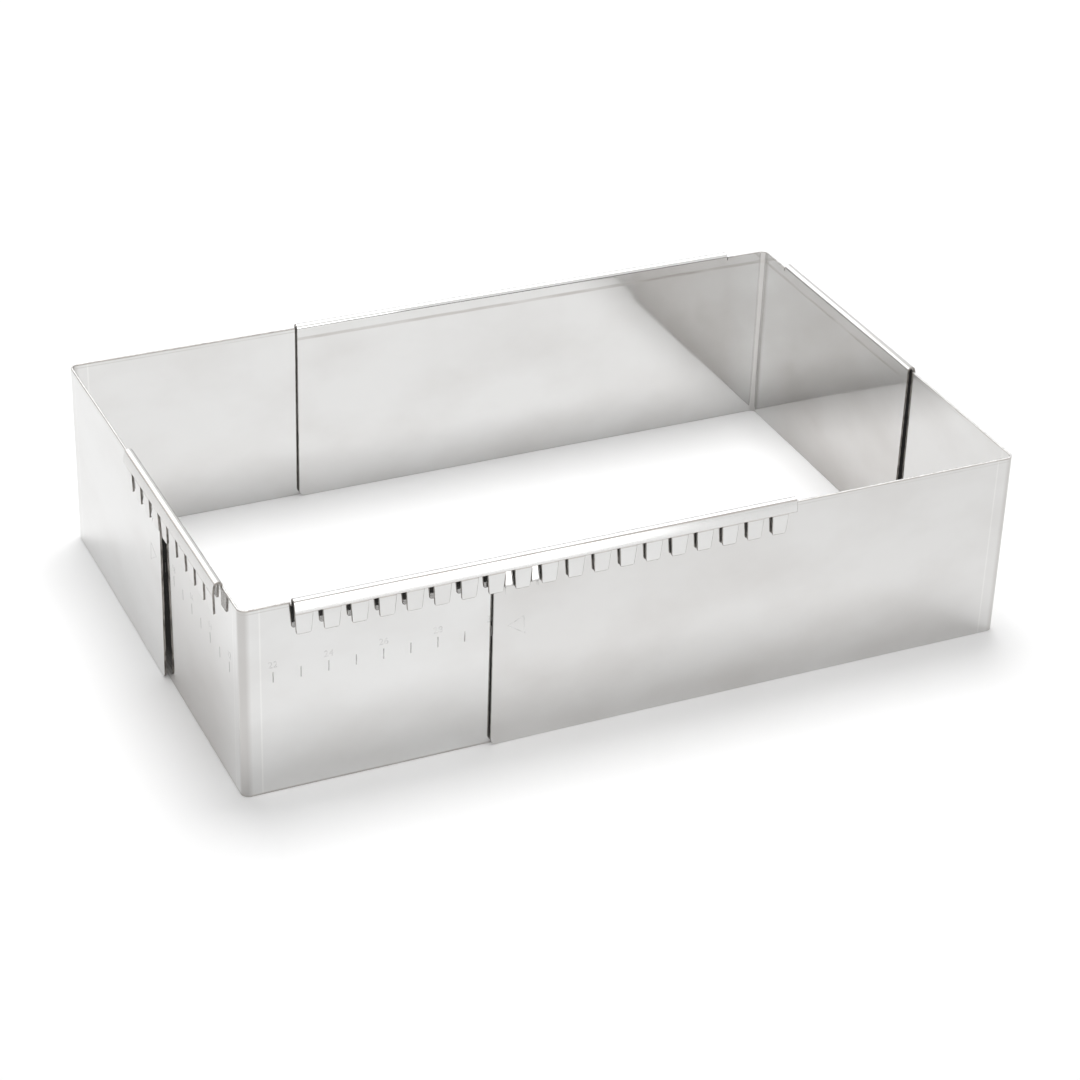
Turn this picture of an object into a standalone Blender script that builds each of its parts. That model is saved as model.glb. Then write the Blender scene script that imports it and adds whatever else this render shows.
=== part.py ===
"""An adjustable cake frame: four angles of bent stainless sheet that slide in each other.

Two railed angles stand at opposite corners. The top edge of each of their legs is folded outward and
down into a channel, and the channel's lip is cut into a row of tabs that lean in a little. Two plain
angles stand at the other corners. Their free ends hang in the channels, and two bumps pressed out of
each free end sit in the slots between the tabs, so that the frame keeps the length and width it is
set to.

Metres, +Z up. The origin is the middle of the base, X runs along the long side, Y along the short one.
"""

import math

import bmesh
import bpy
from mathutils import Matrix, Vector

# Sheet
SHEET_THICKNESS = 0.0008
SHEET_HEIGHT = 0.075
BEND_INNER_RADIUS = 0.0022
FREE_CORNER_RADIUS = 0.0025

# Clearances between the sheets
SLIDE_GAP = 0.0006
BUMP_CLEARANCE = 0.0003
TIP_CLEARANCE = 0.00035
END_CLEARANCE = 0.001

# Rail: the folded channel of a railed angle and the tabs of its lip
RAIL_START = 0.0185
TAB_PITCH = 0.010
SLOT_WIDTH = 0.0034
SLOT_FLARE = 0.0006
TAB_HEIGHT = 0.008
TAB_CORNER_RADIUS = 0.0008
BAND_HEIGHT = 0.0034
RELIEF_WIDTH = 0.0004
RELIEF_DEPTH = 0.0012

# Bumps pressed out of a plain angle's free ends
BUMP_INSET = 0.0053
BUMP_WIDTH = 0.0036
BUMP_RISE = 0.0005
BUMP_SINK = 0.0002

# How far each cutter runs past the sheet it cuts
CUTTER_OVERRUN = 0.001

# Counts and shares
LONG_TABS = 19
SHORT_TABS = 10
BUMPS_PER_LEG = 2
LENGTH_NOTCHES = 8
WIDTH_NOTCHES = 7
BUMP_HEIGHT_SHARE = 0.75
BEND_SEGMENTS = 6
FOLD_SEGMENTS = 10
CORNER_SEGMENTS = 4
TAB_CORNER_SEGMENTS = 3
BUMP_SEGMENTS = 16
BUMP_RINGS = 10

# Points closer than this are one point when a curve becomes a mesh
MERGE_DISTANCE = 0.00001

# Sizes that follow from the ones above
BEND_OUTER_RADIUS = BEND_INNER_RADIUS + SHEET_THICKNESS
CHANNEL_DEPTH = SLIDE_GAP + SHEET_THICKNESS + BUMP_RISE + BUMP_CLEARANCE
FACE_OFFSET = SLIDE_GAP + SHEET_THICKNESS
RAILED_LONG_LEG = RAIL_START + LONG_TABS * TAB_PITCH
RAILED_SHORT_LEG = RAIL_START + SHORT_TABS * TAB_PITCH
TAB_TOP = SHEET_HEIGHT - BAND_HEIGHT
TAB_BOTTOM = TAB_TOP - TAB_HEIGHT
BUMP_HEIGHT = BUMP_HEIGHT_SHARE * TAB_HEIGHT
BUMP_CENTRE_HEIGHT = TAB_TOP - BUMP_HEIGHT / 2

# The tabs lean in from the band until their tips nearly touch the plain sheet
TAB_LEAN = CHANNEL_DEPTH - FACE_OFFSET - TIP_CLEARANCE

# A plain angle's free edge stands here at the shortest setting, measured from the railed angle's corner:
# its outermost bump but one is then in the first slot.
EDGE_AT_SHORTEST = RAIL_START - SLOT_WIDTH / 2 - BUMP_INSET
PLAIN_LONG_LEG = RAILED_LONG_LEG
PLAIN_SHORT_LEG = RAILED_SHORT_LEG + BEND_OUTER_RADIUS + END_CLEARANCE - EDGE_AT_SHORTEST

# The rectangle between the outer faces of the two railed angles, at the setting in which the frame stands
RAILED_LENGTH = EDGE_AT_SHORTEST + LENGTH_NOTCHES * TAB_PITCH + PLAIN_LONG_LEG - FACE_OFFSET
RAILED_WIDTH = EDGE_AT_SHORTEST + WIDTH_NOTCHES * TAB_PITCH + PLAIN_SHORT_LEG - FACE_OFFSET

STEEL_COLOR = (0.80, 0.80, 0.79, 1.0)
STEEL_ROUGHNESS = 0.16

UP = Vector((0.0, 0.0, 1.0))


def clear_scene():
    """Remove whatever the file holds, so that the model starts from nothing."""
    for old in list(bpy.data.objects):
        bpy.data.objects.remove(old, do_unlink=True)
    for old in list(bpy.data.collections):
        bpy.data.collections.remove(old)


def new_collection(name):
    made = bpy.data.collections.new(name)
    bpy.context.scene.collection.children.link(made)
    return made


def steel(name):
    """Bright, lightly brushed stainless steel."""
    material = bpy.data.materials.new(name)
    material.use_nodes = True
    shader = material.node_tree.nodes["Principled BSDF"]
    shader.inputs["Base Color"].default_value = STEEL_COLOR
    shader.inputs["Metallic"].default_value = 1.0
    shader.inputs["Roughness"].default_value = STEEL_ROUGHNESS
    return material


def leg_frames(side):
    """The direction of each leg from the corner, and the way its outer face looks.

    side is 1 for an angle whose long leg runs towards +X, and -1 for its mirror image.
    """
    long_leg = (Vector((side, 0.0, 0.0)), Vector((0.0, -1.0, 0.0)))
    short_leg = (Vector((0.0, 1.0, 0.0)), Vector((-side, 0.0, 0.0)))
    return long_leg, short_leg


def plan_points(side, long_stations, short_stations):
    """The outer face seen from above, from the long leg's free end, round the bend, to the short leg's.

    A station is a distance along a leg from the corner where the two outer faces would meet.
    """
    points = [Vector((side * s, 0.0, 0.0)) for s in long_stations]
    for step in range(BEND_SEGMENTS + 1):
        turn = math.pi / 2 * step / BEND_SEGMENTS
        x = BEND_OUTER_RADIUS * (1 - math.sin(turn))
        y = BEND_OUTER_RADIUS * (1 - math.cos(turn))
        points.append(Vector((side * x, y, 0.0)))
    points += [Vector((0.0, s, 0.0)) for s in short_stations]
    return points


def raise_edges(mesh, edges, offset):
    """Extrude edges by an offset and return the edges of the new side."""
    made = bmesh.ops.extrude_edge_only(mesh, edges=edges)["geom"]
    verts = [item for item in made if isinstance(item, bmesh.types.BMVert)]
    bmesh.ops.translate(mesh, verts=verts, vec=offset)
    fresh = set(verts)
    return [item for item in made
            if isinstance(item, bmesh.types.BMEdge) and fresh.issuperset(item.verts)]


def middle(edge):
    return (edge.verts[0].co + edge.verts[1].co) / 2


def in_span(edge, along, low, high):
    """True if the edge's middle lies between two distances along a leg."""
    return low < middle(edge).dot(along) < high


def round_free_corners(mesh, side, long_leg, short_leg):
    """Round the bottom corner of each free end, in the plane of the sheet."""
    ends = (Vector((side * long_leg, 0.0, 0.0)), Vector((0.0, short_leg, 0.0)))
    corners = [vert for vert in mesh.verts if any((vert.co - end).length < MERGE_DISTANCE for end in ends)]
    bmesh.ops.bevel(mesh, geom=corners, offset=FREE_CORNER_RADIUS, segments=CORNER_SEGMENTS,
                    profile=0.5, affect='VERTICES')


def fold_rail(mesh, top_edges, outward):
    """Carry the wall's top edge round the half circle of the fold, down the band and the leaning tabs."""
    radius = CHANNEL_DEPTH / 2
    before = Vector((0.0, 0.0, 0.0))
    edges = top_edges
    for step in range(1, FOLD_SEGMENTS + 1):
        turn = math.pi * step / FOLD_SEGMENTS
        here = outward * (radius * (1 - math.cos(turn))) + UP * (radius * math.sin(turn))
        edges = raise_edges(mesh, edges, here - before)
        before = here
    edges = raise_edges(mesh, edges, -UP * BAND_HEIGHT)
    raise_edges(mesh, edges, -UP * TAB_HEIGHT - outward * TAB_LEAN)


def face_outward(mesh, outward):
    """Point the open surface's faces away from the inside of the frame."""
    wall = max(mesh.faces, key=lambda face: face.calc_area())
    if wall.normal.dot(outward) < 0:
        bmesh.ops.reverse_faces(mesh, faces=mesh.faces[:])


def sheet_object(name, mesh, collection):
    """Make the open surface an object, and give it the thickness of the sheet on its inner side."""
    data = bpy.data.meshes.new(name)
    mesh.to_mesh(data)
    mesh.free()
    made = bpy.data.objects.new(name, data)
    collection.objects.link(made)
    data.materials.append(steel(name + "_steel"))
    thicken = made.modifiers.new("sheet", 'SOLIDIFY')
    thicken.thickness = SHEET_THICKNESS
    thicken.offset = -1.0
    thicken.use_even_offset = True
    return made


def railed_sheet(name, collection):
    """The railed angle as an open surface: the wall, the relief notches and the two folded rails."""
    notch_start = RAIL_START - RELIEF_WIDTH
    mesh = bmesh.new()
    stations = [RAILED_LONG_LEG, RAIL_START, notch_start]
    plan = plan_points(1, stations, [notch_start, RAIL_START, RAILED_SHORT_LEG])
    verts = [mesh.verts.new(point) for point in plan]
    base = [mesh.edges.new(pair) for pair in zip(verts, verts[1:])]
    shoulder = raise_edges(mesh, base, UP * (SHEET_HEIGHT - RELIEF_DEPTH))
    top = raise_edges(mesh, shoulder, UP * RELIEF_DEPTH)
    legs = tuple(zip(leg_frames(1), (RAILED_LONG_LEG, RAILED_SHORT_LEG)))
    for (along, outward), length in legs:
        rail_edges = [edge for edge in top if in_span(edge, along, RAIL_START, length)]
        fold_rail(mesh, rail_edges, outward)
    notches = []
    for (along, outward), length in legs:
        gap = [edge for edge in top if in_span(edge, along, notch_start, RAIL_START)]
        notches += [face for edge in gap for face in edge.link_faces]
    bmesh.ops.delete(mesh, geom=notches, context='FACES')
    round_free_corners(mesh, 1, RAILED_LONG_LEG, RAILED_SHORT_LEG)
    mesh.normal_update()
    face_outward(mesh, legs[0][0][1])
    return sheet_object(name, mesh, collection)


def plain_sheet(name, collection):
    """The plain angle as an open surface: a wall with a bend."""
    mesh = bmesh.new()
    verts = [mesh.verts.new(point) for point in plan_points(-1, [PLAIN_LONG_LEG], [PLAIN_SHORT_LEG])]
    base = [mesh.edges.new(pair) for pair in zip(verts, verts[1:])]
    raise_edges(mesh, base, UP * SHEET_HEIGHT)
    round_free_corners(mesh, -1, PLAIN_LONG_LEG, PLAIN_SHORT_LEG)
    mesh.normal_update()
    face_outward(mesh, leg_frames(-1)[0][1])
    return sheet_object(name, mesh, collection)


def arc(centre_x, centre_y, start, end):
    """Points of a tab's rounded corner, from one angle to the other in quarter turns."""
    points = []
    for step in range(TAB_CORNER_SEGMENTS + 1):
        turn = math.pi / 2 * (start + (end - start) * step / TAB_CORNER_SEGMENTS)
        points.append((centre_x + TAB_CORNER_RADIUS * math.cos(turn),
                       centre_y + TAB_CORNER_RADIUS * math.sin(turn)))
    return points


def slot_outline(left, right, open_left, open_right):
    """One slot between two tabs, wider at its open lower end, with the tabs' corners rounded.

    left and right are the slot's sides at its top, as distances along the leg. An open side has no tab
    beside it, so the cutter runs past the end of the lip there.
    """
    round_height = TAB_BOTTOM + TAB_CORNER_RADIUS
    below = TAB_BOTTOM - CUTTER_OVERRUN
    reach = SLOT_FLARE + TAB_CORNER_RADIUS
    if open_left:
        points = [(left - CUTTER_OVERRUN, below), (left - CUTTER_OVERRUN, TAB_TOP)]
    else:
        points = [(left - reach, below)] + arc(left - reach, round_height, 3, 4) + [(left, TAB_TOP)]
    if open_right:
        points += [(right + CUTTER_OVERRUN, TAB_TOP), (right + CUTTER_OVERRUN, below)]
    else:
        points += [(right, TAB_TOP)] + arc(right + reach, round_height, 2, 3) + [(right + reach, below)]
    return points


def slot_outlines(tabs):
    """Every slot of one rail. The first only trims the first tab, and the last is open at the free end."""
    outlines = [slot_outline(RAIL_START, RAIL_START, True, False)]
    for tab in range(1, tabs + 1):
        right = RAIL_START + tab * TAB_PITCH
        outlines.append(slot_outline(right - SLOT_WIDTH, right, False, tab == tabs))
    return outlines


def as_cutter(made, collection, parent):
    collection.objects.link(made)
    made.parent = parent
    made.hide_render = True
    made.display_type = 'WIRE'
    return made


def slot_cutter(name, tabs, along, outward, collection, parent):
    """Prisms for all the slots of one rail, standing in the lip and clear of the wall."""
    curve = bpy.data.curves.new(name + "_outline", 'CURVE')
    curve.dimensions = '2D'
    curve.fill_mode = 'BOTH'
    depth = CHANNEL_DEPTH / 2 + SHEET_THICKNESS + CUTTER_OVERRUN
    curve.extrude = depth / 2
    for outline in slot_outlines(tabs):
        spline = curve.splines.new('POLY')
        spline.points.add(len(outline) - 1)
        for point, (x, y) in zip(spline.points, outline):
            point.co = (x, y, 0.0, 1.0)
        spline.use_cyclic_u = True
    drawn = bpy.data.objects.new(name + "_outline", curve)
    bpy.context.scene.collection.objects.link(drawn)
    bpy.context.view_layer.update()
    seen = drawn.evaluated_get(bpy.context.evaluated_depsgraph_get())
    data = bpy.data.meshes.new_from_object(seen)
    bpy.data.objects.remove(drawn, do_unlink=True)
    solid = bmesh.new()
    solid.from_mesh(data)
    bmesh.ops.remove_doubles(solid, verts=solid.verts[:], dist=MERGE_DISTANCE)
    bmesh.ops.recalc_face_normals(solid, faces=solid.faces[:])
    solid.to_mesh(data)
    solid.free()
    made = as_cutter(bpy.data.objects.new(name, data), collection, parent)
    axes = Matrix((along, UP, along.cross(UP))).transposed().to_4x4()
    made.matrix_local = Matrix.Translation(outward * (CHANNEL_DEPTH / 2 + depth / 2)) @ axes
    return made


def bump_solids(name, leg_length, along, outward, width, height, face, collection, parent):
    """The two bumps of one free end as ellipsoids that rise BUMP_RISE outside one face of the sheet."""
    solid = bmesh.new()
    for bump in range(BUMPS_PER_LEG):
        ball = bmesh.ops.create_uvsphere(solid, u_segments=BUMP_SEGMENTS, v_segments=BUMP_RINGS, radius=1.0)
        depth = BUMP_RISE + BUMP_SINK
        stretch = Matrix((along * width / 2, outward * depth, UP * height / 2)).transposed().to_4x4()
        station = leg_length - BUMP_INSET - bump * TAB_PITCH
        centre = along * station + outward * (face - BUMP_SINK) + UP * BUMP_CENTRE_HEIGHT
        place = Matrix.Translation(centre)
        bmesh.ops.transform(solid, matrix=place @ stretch, verts=ball["verts"])
    bmesh.ops.recalc_face_normals(solid, faces=solid.faces[:])
    data = bpy.data.meshes.new(name)
    solid.to_mesh(data)
    solid.free()
    return as_cutter(bpy.data.objects.new(name, data), collection, parent)


def boolean(target, operation, tool):
    step = target.modifiers.new(operation.lower() + "_" + tool.name, 'BOOLEAN')
    step.operation = operation
    step.solver = 'EXACT'
    step.object = tool


def railed_angle(name, parts, cutters):
    """A railed angle: wall, folded rails, and the slots that part the lip into tabs."""
    angle = railed_sheet(name, parts)
    for label, tabs, (along, outward) in zip(("long", "short"), (LONG_TABS, SHORT_TABS), leg_frames(1)):
        tool = slot_cutter(f"{name}_{label}_slots", tabs, along, outward, cutters, angle)
        boolean(angle, 'DIFFERENCE', tool)
    return angle


def plain_angle(name, parts, cutters):
    """A plain angle: wall and bend, with the bumps raised outside and hollow inside."""
    angle = plain_sheet(name, parts)
    hollow_width = BUMP_WIDTH - SHEET_THICKNESS
    hollow_height = BUMP_HEIGHT - SHEET_THICKNESS
    legs = zip(("long", "short"), (PLAIN_LONG_LEG, PLAIN_SHORT_LEG), leg_frames(-1))
    for label, length, (along, outward) in legs:
        dome = bump_solids(f"{name}_{label}_bumps", length, along, outward, BUMP_WIDTH, BUMP_HEIGHT,
                           0.0, cutters, angle)
        boolean(angle, 'UNION', dome)
        hollow = bump_solids(f"{name}_{label}_hollows", length, along, outward, hollow_width, hollow_height,
                             -SHEET_THICKNESS, cutters, angle)
        boolean(angle, 'DIFFERENCE', hollow)
    return angle


def build_frame():
    clear_scene()
    parts = new_collection("adjustable_cake_frame")
    cutters = new_collection("adjustable_cake_frame_cutters")
    railed_corner = Vector((-RAILED_LENGTH / 2, -RAILED_WIDTH / 2, 0.0))
    plain_corner = Vector((RAILED_LENGTH / 2 + FACE_OFFSET, -RAILED_WIDTH / 2 - FACE_OFFSET, 0.0))
    half_turn = math.pi
    places = (
        ("front_left_railed_angle", railed_angle, railed_corner, 0.0),
        ("back_right_railed_angle", railed_angle, -railed_corner, half_turn),
        ("front_right_plain_angle", plain_angle, plain_corner, 0.0),
        ("back_left_plain_angle", plain_angle, -plain_corner, half_turn),
    )
    for name, make, corner, turn in places:
        angle = make(name, parts, cutters)
        angle.location = corner
        angle.rotation_euler = (0.0, 0.0, turn)
    bpy.context.view_layer.update()


build_frame()
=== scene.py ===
# %% [markdown]
# An adjustable cake frame, dressed for a picture
#
# The object is four angles of bent stainless sheet. Two of them carry rails: their top edge is folded
# outward and down, and the lip is cut into tabs. The other two are plain, and their free ends hang in
# the rails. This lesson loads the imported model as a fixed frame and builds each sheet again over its
# solid, as a surface that numpy works out on a grid, fine enough to hold the soft waves, the rounded
# edges and the pressed bumps that a bright mirror shows.

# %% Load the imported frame
import math

import bpy
import numpy as np
from mathutils import Matrix, Vector


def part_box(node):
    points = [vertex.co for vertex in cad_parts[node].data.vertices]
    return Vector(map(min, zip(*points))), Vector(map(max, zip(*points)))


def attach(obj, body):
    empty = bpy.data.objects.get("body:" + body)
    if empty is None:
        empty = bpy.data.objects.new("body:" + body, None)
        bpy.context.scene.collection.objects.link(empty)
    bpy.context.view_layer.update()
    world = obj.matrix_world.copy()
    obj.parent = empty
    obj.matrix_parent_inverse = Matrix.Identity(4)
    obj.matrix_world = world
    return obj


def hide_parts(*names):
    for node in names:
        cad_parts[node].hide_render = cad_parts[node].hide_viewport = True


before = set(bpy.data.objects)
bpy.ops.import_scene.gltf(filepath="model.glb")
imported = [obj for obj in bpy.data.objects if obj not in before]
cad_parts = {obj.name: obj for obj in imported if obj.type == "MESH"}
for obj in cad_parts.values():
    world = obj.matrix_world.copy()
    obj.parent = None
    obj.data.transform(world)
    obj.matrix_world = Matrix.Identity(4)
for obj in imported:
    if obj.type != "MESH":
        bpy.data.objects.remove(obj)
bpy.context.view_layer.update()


def in_mm(metres, digits=2):
    """A length in metres as rounded millimetres."""
    return round(float(metres) * 1000, digits)


# %% [markdown]
# The camera comes first
#
# Every straight edge of the frame is parallel to one of the three axes, so the edges in the photograph
# tell where the camera stood and how long its lens was. It looked down by about 30 degrees from the
# front left. A camera looks along its own -Z, so it is tipped up from straight down, turned about the
# vertical, and last rolled a little about its own line of sight.

# %% Camera
CAMERA_PLACE = Vector((-0.40931, -0.87914, 0.58820))
CAMERA_TURN = math.radians(25.213)
CAMERA_DIP = math.radians(30.420)
CAMERA_ROLL = math.radians(1.978)
LENS_MM = 97.60
SENSOR_MM = 36.0

camera = bpy.data.objects.new("camera", bpy.data.cameras.new("camera"))
bpy.context.scene.collection.objects.link(camera)
camera.data.lens = LENS_MM
camera.data.sensor_width = SENSOR_MM
aim = (Matrix.Rotation(-CAMERA_TURN, 4, 'Z') @ Matrix.Rotation(math.pi / 2 - CAMERA_DIP, 4, 'X')
       @ Matrix.Rotation(CAMERA_ROLL, 4, 'Z'))
camera.matrix_world = Matrix.Translation(CAMERA_PLACE) @ aim
bpy.context.scene.camera = camera
print("camera is", round(CAMERA_PLACE.length, 3), "m from the middle of the frame's base")

# %% [markdown]
# Grids instead of faces
#
# A bent sheet is a function of two parameters: how far along the sheet a point lies, and how far up it.
# So each sheet is a grid of such points, computed as whole arrays. Bending a flat plane with a modifier
# would do for the bend, but not for a fold that is cut into tabs. The lines of the grid are not evenly
# spaced. They crowd where the form turns, at the bend, the fold, the tabs and the bumps, and thin out on
# the flat wall. The helper below writes such uneven lines as stops with a number of steps between them.

# %% Grid lines
def ruled(first, *steps_and_stops):
    """Grid lines: from each stop to the next in the given number of equal steps."""
    lines = np.array([first], float)
    for steps, stop in zip(steps_and_stops[::2], steps_and_stops[1::2]):
        lines = np.append(lines, np.linspace(lines[-1], stop, steps + 1)[1:])
    return lines


print("an example, mm:", ruled(0.0, 2, 1.0, 3, 10.0))

# %% [markdown]
# The sheet seen from above
#
# Both kinds of angle share one plan: a straight leg, a bend of 3 mm radius and a second straight leg.
# A point of the plan is given by its distance along the sheet from the middle of the bend, negative on
# the long leg. One formula then covers the straight parts and the bend, because the angle of the bend
# is the distance over the radius, held between its two ends.

# %% Plan of an angle
SHEET_THICKNESS = 0.0008
WALL_HEIGHT = 0.075
BEND_RADIUS = 0.003
HALF_BEND = math.pi / 4 * BEND_RADIUS


def plan_of_sheet(distance):
    """The outer face in plan and its outward direction, for distances from the middle of the bend.

    The bend's angle is distance / radius, held between minus and plus an eighth turn. What is left of
    the distance runs straight on along +X for the long leg and along +Y for the short one.
    """
    turn = np.clip(distance, -HALF_BEND, HALF_BEND) / BEND_RADIUS + math.pi / 4
    along_x = np.maximum(-distance - HALF_BEND, 0.0)
    along_y = np.maximum(distance - HALF_BEND, 0.0)
    x = BEND_RADIUS * (1 - np.sin(turn)) + along_x
    y = BEND_RADIUS * (1 - np.cos(turn)) + along_y
    return x, y, -np.sin(turn), -np.cos(turn)


def sheet_points(distance, outward, height):
    """Points of a sheet: the plan's point plus the outward direction times how far out, at a height."""
    x, y, normal_x, normal_y = plan_of_sheet(distance)
    return np.stack([x + normal_x * outward, y + normal_y * outward, height], axis=-1)


print("developed length of the bend, mm:", in_mm(2 * HALF_BEND))

# %% [markdown]
# Rounded corners
#
# The lower corner of each free end is rounded so that it does not scratch. The small square of grid at
# that corner is drawn onto a quarter disc: each side is pulled in by the root of one minus half the
# other side's square. The two inner sides of the square stay where they are, so the wall next to it is
# untouched, and no grid cell collapses. The tabs' corners use the same map.

# %% Corner map
def round_corner(across, down):
    """Map a unit square onto a quarter disc: x * sqrt(1 - y*y/2) and y * sqrt(1 - x*x/2).

    Values below nought lie outside the corner square and stay as they are.
    """
    a = np.clip(across, 0.0, 1.0)
    b = np.clip(down, 0.0, 1.0)
    in_corner = (across > 0) & (down > 0)
    return (np.where(in_corner, a * np.sqrt(1 - b * b / 2), across),
            np.where(in_corner, b * np.sqrt(1 - a * a / 2), down))


print("the corner of the square goes to", [round(float(c), 3) for c in round_corner(1.0, 1.0)])

# %% [markdown]
# A leg's grid lines
#
# Along a railed leg the lip repeats every 10 mm: a tab, then a slot. Each tab brings eleven lines, as
# shares of its half width, so that the tab can narrow towards its tip while the wall below keeps
# straight lines. The two legs and the bend are then laid end to end, the long leg back to front.

# %% Columns of the grid
RAIL_START = 0.0185
TAB_PITCH = 0.010
TAB_WIDTH = 0.0066
TAB_CORNER_SHARE = 0.704
RELIEF_WIDTH = 0.0004
FREE_CORNER_RADIUS = 0.0025
LONG_TABS = 19
SHORT_TABS = 10
LEAD_STEPS = 6
TAB_STEPS, TAB_CORNER_STEPS = 4, 3
FREE_CORNER_STEPS = 5
BEND_STEPS = 24
WALL, SLIT, TAB, SLOT = range(4)


def railed_leg(tabs):
    """Columns of a railed leg from the bend to its free end: stations, shares of a tab, tab, kind."""
    shares = ruled(-1.0, TAB_CORNER_STEPS, -TAB_CORNER_SHARE, TAB_STEPS, TAB_CORNER_SHARE,
                   TAB_CORNER_STEPS, 1.0)
    starts = RAIL_START + TAB_PITCH * np.arange(tabs)[:, None]
    tab_lines = starts + TAB_WIDTH / 2 * (1 + shares)
    slot_line = starts + (TAB_WIDTH + TAB_PITCH) / 2
    stations = np.hstack([tab_lines, slot_line]).ravel()[:-1]
    end = RAIL_START + tabs * TAB_PITCH
    before = ruled(BEND_RADIUS, LEAD_STEPS, RAIL_START - RELIEF_WIDTH)
    after = ruled(end - FREE_CORNER_RADIUS, FREE_CORNER_STEPS, end)
    lines = len(shares) + 1
    kinds = np.tile([TAB] * (lines - 2) + [SLOT] * 2, tabs)[:-1]
    return {
        "station": np.concatenate([before, stations, after]),
        "share": np.concatenate([before * 0, np.tile(np.append(shares, 0), tabs)[:-1], after * 0]),
        "tab": np.concatenate([before * 0 - 1, np.repeat(np.arange(tabs), lines)[:-1], after * 0 - 1]),
        "kind": np.concatenate([[WALL] * (len(before) - 1), [SLIT], kinds, [SLOT] * (len(after) - 1)]),
    }


def lay_end_to_end(long_leg, short_leg):
    """Columns of the whole sheet: the long leg from its free end, the bend, the short leg."""
    bend = np.linspace(-HALF_BEND, HALF_BEND, BEND_STEPS + 1)[1:-1]
    joined = {
        "bend": np.concatenate([long_leg["station"] * 0, bend, short_leg["station"] * 0]),
        "side": np.concatenate([long_leg["station"] * 0 - 1, bend * 0, short_leg["station"] * 0 + 1]),
        "kind": np.concatenate([long_leg["kind"][::-1], [WALL] * BEND_STEPS, short_leg["kind"]]),
    }
    for key, filler in (("station", 0.0), ("share", 0.0), ("tab", -1)):
        joined[key] = np.concatenate([long_leg[key][::-1], bend * 0 + filler, short_leg[key]])
    return joined


railed_columns = lay_end_to_end(railed_leg(LONG_TABS), railed_leg(SHORT_TABS))
print("railed sheet:", len(railed_columns["station"]), "columns")

# %% [markdown]
# From the legs to the sheet
#
# The legs count their stations from the outer corner of the angle, but the plan wants the distance from
# the middle of the bend. One line changes the first into the second, with the side as its sign. The
# corner map then goes to work on the lowest square of each free end.

# %% Distance and free corners
def distance_from_bend(columns, station):
    """Side times the station moved to the middle of the bend, plus the place on the bend itself."""
    return columns["side"] * (station + HALF_BEND - BEND_RADIUS) + columns["bend"]


def round_free_corners(columns, station, z, wall_rows):
    """Draw the lowest corner square of each free end onto a quarter disc."""
    end = np.where(columns["side"] < 0, station[0, 0], station[0, -1])
    across = 1 - (end - station) / FREE_CORNER_RADIUS
    down = 1 - z / FREE_CORNER_RADIUS
    a, b = round_corner(across, down)
    corner = (across > 0) & (down > 0)
    corner[wall_rows:] = False
    return (np.where(corner, end - FREE_CORNER_RADIUS * (1 - a), station),
            np.where(corner, FREE_CORNER_RADIUS * (1 - b), z))


free_ends = distance_from_bend(railed_columns, railed_columns["station"])[[0, -1]]
print("free ends of a railed sheet, mm from the bend:", [in_mm(end) for end in free_ends])

# %% [markdown]
# Soft waves in the wall
#
# Thin sheet is never quite flat. A mirror finish shows it, because a wave of a tenth of a millimetre
# bends what is seen in it. The wave is a sum of slow sines along and up the sheet, each sheet with its
# own phase, and it is geometry rather than bump, so that every view agrees on it.

# %% Waves
WAVE_HEIGHT = 0.0001
SLOW_ALONG, SLOW_UP, SLOW_PHASE, SLOW_SHARE = 47, 33, 1.7, 0.5
MIDDLE_ALONG, MIDDLE_UP, MIDDLE_PHASE, MIDDLE_SHARE = 83, 61, 2.3, 0.3
QUICK_ALONG, QUICK_UP, QUICK_PHASE, QUICK_SHARE = 131, 58, 3.1, 0.2
WAVE_PHASES = {"front_left": 0.4, "back_right": 2.9, "front_right": 1.6, "back_left": 4.4}


def wave(distance, height, phase):
    """A sum of three sine waves in distance and height, at most WAVE_HEIGHT high.

    The slow one is a sine along times a sine up, the middle one a sine along times a cosine up, and the
    quick one a single slanting sine. The numbers are radians a metre and multiples of the phase.
    """
    slow = np.sin(distance * SLOW_ALONG + phase) * np.sin(height * SLOW_UP + phase * SLOW_PHASE)
    middle = np.sin(distance * MIDDLE_ALONG + phase * MIDDLE_PHASE) * np.cos(height * MIDDLE_UP + phase)
    quick = np.sin(distance * QUICK_ALONG + height * QUICK_UP + phase * QUICK_PHASE)
    return WAVE_HEIGHT * (SLOW_SHARE * slow + MIDDLE_SHARE * middle + QUICK_SHARE * quick)


print("the wave's height, mm:", in_mm(WAVE_HEIGHT))

# %% [markdown]
# Free ends that stand off
#
# A plain sheet hangs in the rail by its top edge alone, so the foot of its free end springs outward by
# almost half a millimetre, and the railed sheet's own free end stands in a little. The lean grows with
# the square of the nearness to the end and falls off evenly towards the top. It opens the dark gap that
# shows beside each free edge.

# %% Splay
SPLAY_LENGTH = 0.09


def splay(distance, height, ends, amount):
    """amount * (1 - height / wall height) * (1 - distance to the free end / splay length) squared."""
    nearness = [np.clip(1 - np.abs(end - distance) / SPLAY_LENGTH, 0.0, 1.0) ** 2 for end in ends]
    return amount * (nearness[0] + nearness[1]) * np.clip(1 - height / WALL_HEIGHT, 0.0, 1.0)


print("at the foot of a free end:", splay(0.1, 0.0, (0.1, -0.2), 1.0), "of the full splay")

# %% [markdown]
# Wall, fold and band
#
# Going up a railed leg, the profile is the straight wall, almost a half circle outward, the band of the
# lip and the tabs. The band is not flat. It is a gentle arc that takes over from the tight one at a tilt
# of 16 degrees and ends upright at the slots, so that the light runs out over it softly.

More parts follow.
